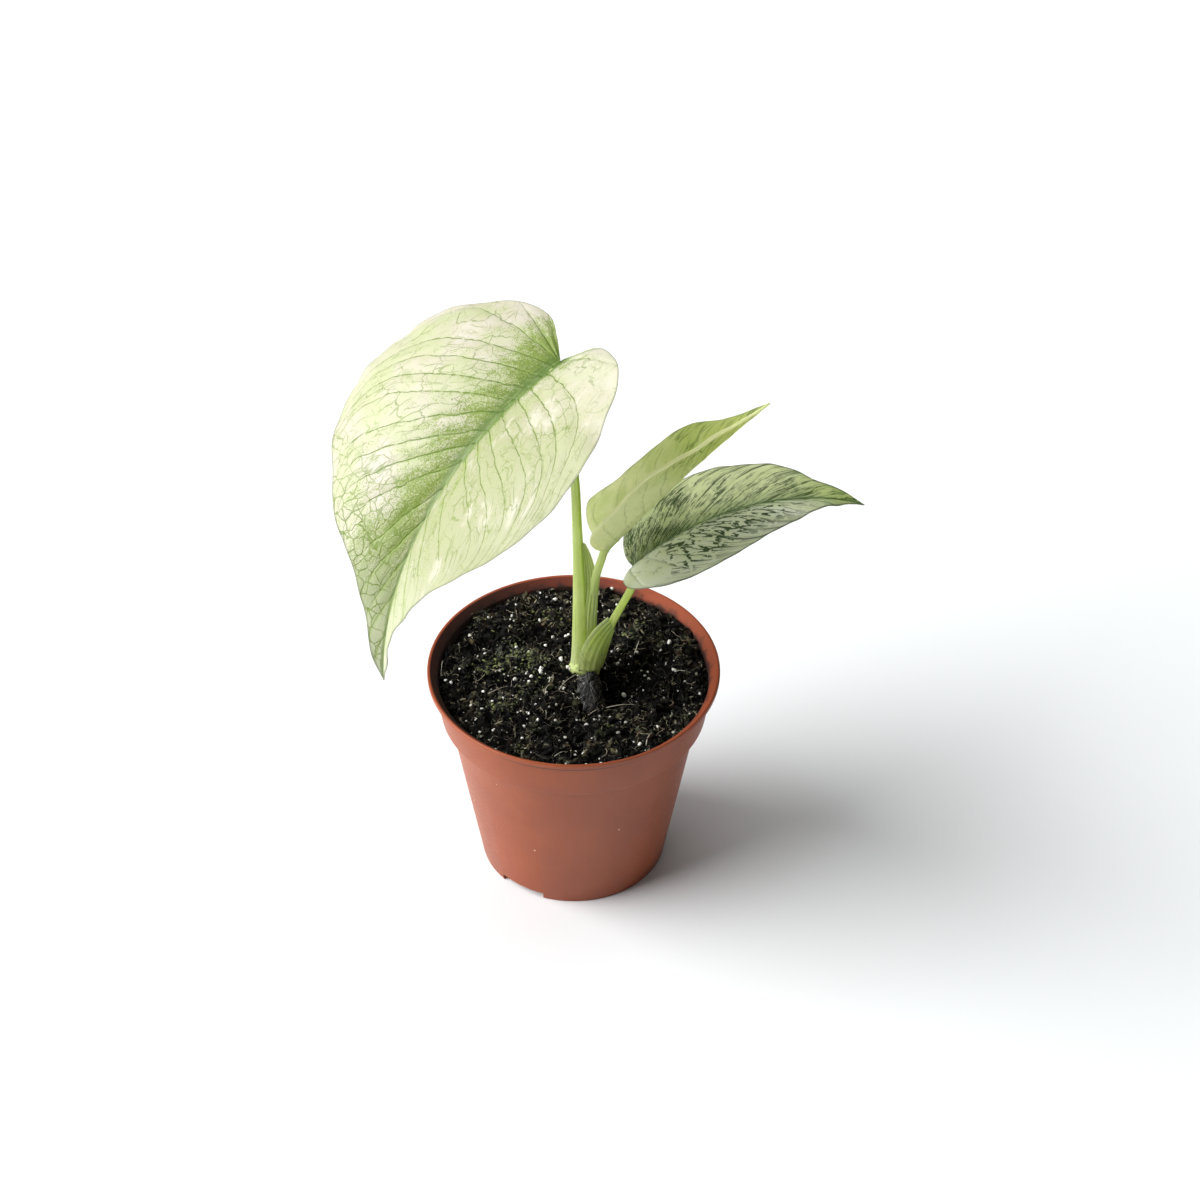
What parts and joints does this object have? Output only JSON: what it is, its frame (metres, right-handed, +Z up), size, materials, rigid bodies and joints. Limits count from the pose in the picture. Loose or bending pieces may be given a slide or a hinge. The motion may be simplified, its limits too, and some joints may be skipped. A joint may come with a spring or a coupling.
{
  "type": "potted mint monstera",
  "caption": "Young variegated climbing aroid with three heart-shaped leaves on sheathed stalks, rooted in dark soil in a small thin-walled round nursery pot.",
  "frame": {"origin": "on the surface the pot stands on, at the pot's axis: the centre of the flat pad under the pot", "axes": "+Z up along the pot's axis; the viewer stands towards -Y, the large leaf hangs towards -X and -Y, the two small leaves point to +X"},
  "size_m": [0.1577, 0.1061, 0.2005],
  "materials": {
    "pot": "satin terracotta-coloured moulded plastic",
    "soil": "damp dark peat with perlite, fibres and moss",
    "roots": "dark fibrous root plug",
    "stem": "smooth satin living stem",
    "leaf_mint": "satin leaf, cream mint with green veins",
    "leaf_young": "satin young leaf, pale yellow-green",
    "leaf_speckled": "satin leaf, grey mint with dark green flecks"
  },
  "bodies": {
    "root": {"pot": "pot", "soil": "soil", "root_plug": "roots", "crown": "stem", "petiole_large": "stem", "petiole_young": "stem", "petiole_speckled": "stem", "leaf_large": "leaf_mint", "leaf_young": "leaf_young", "leaf_speckled": "leaf_speckled"}
  },
  "joints": []
}
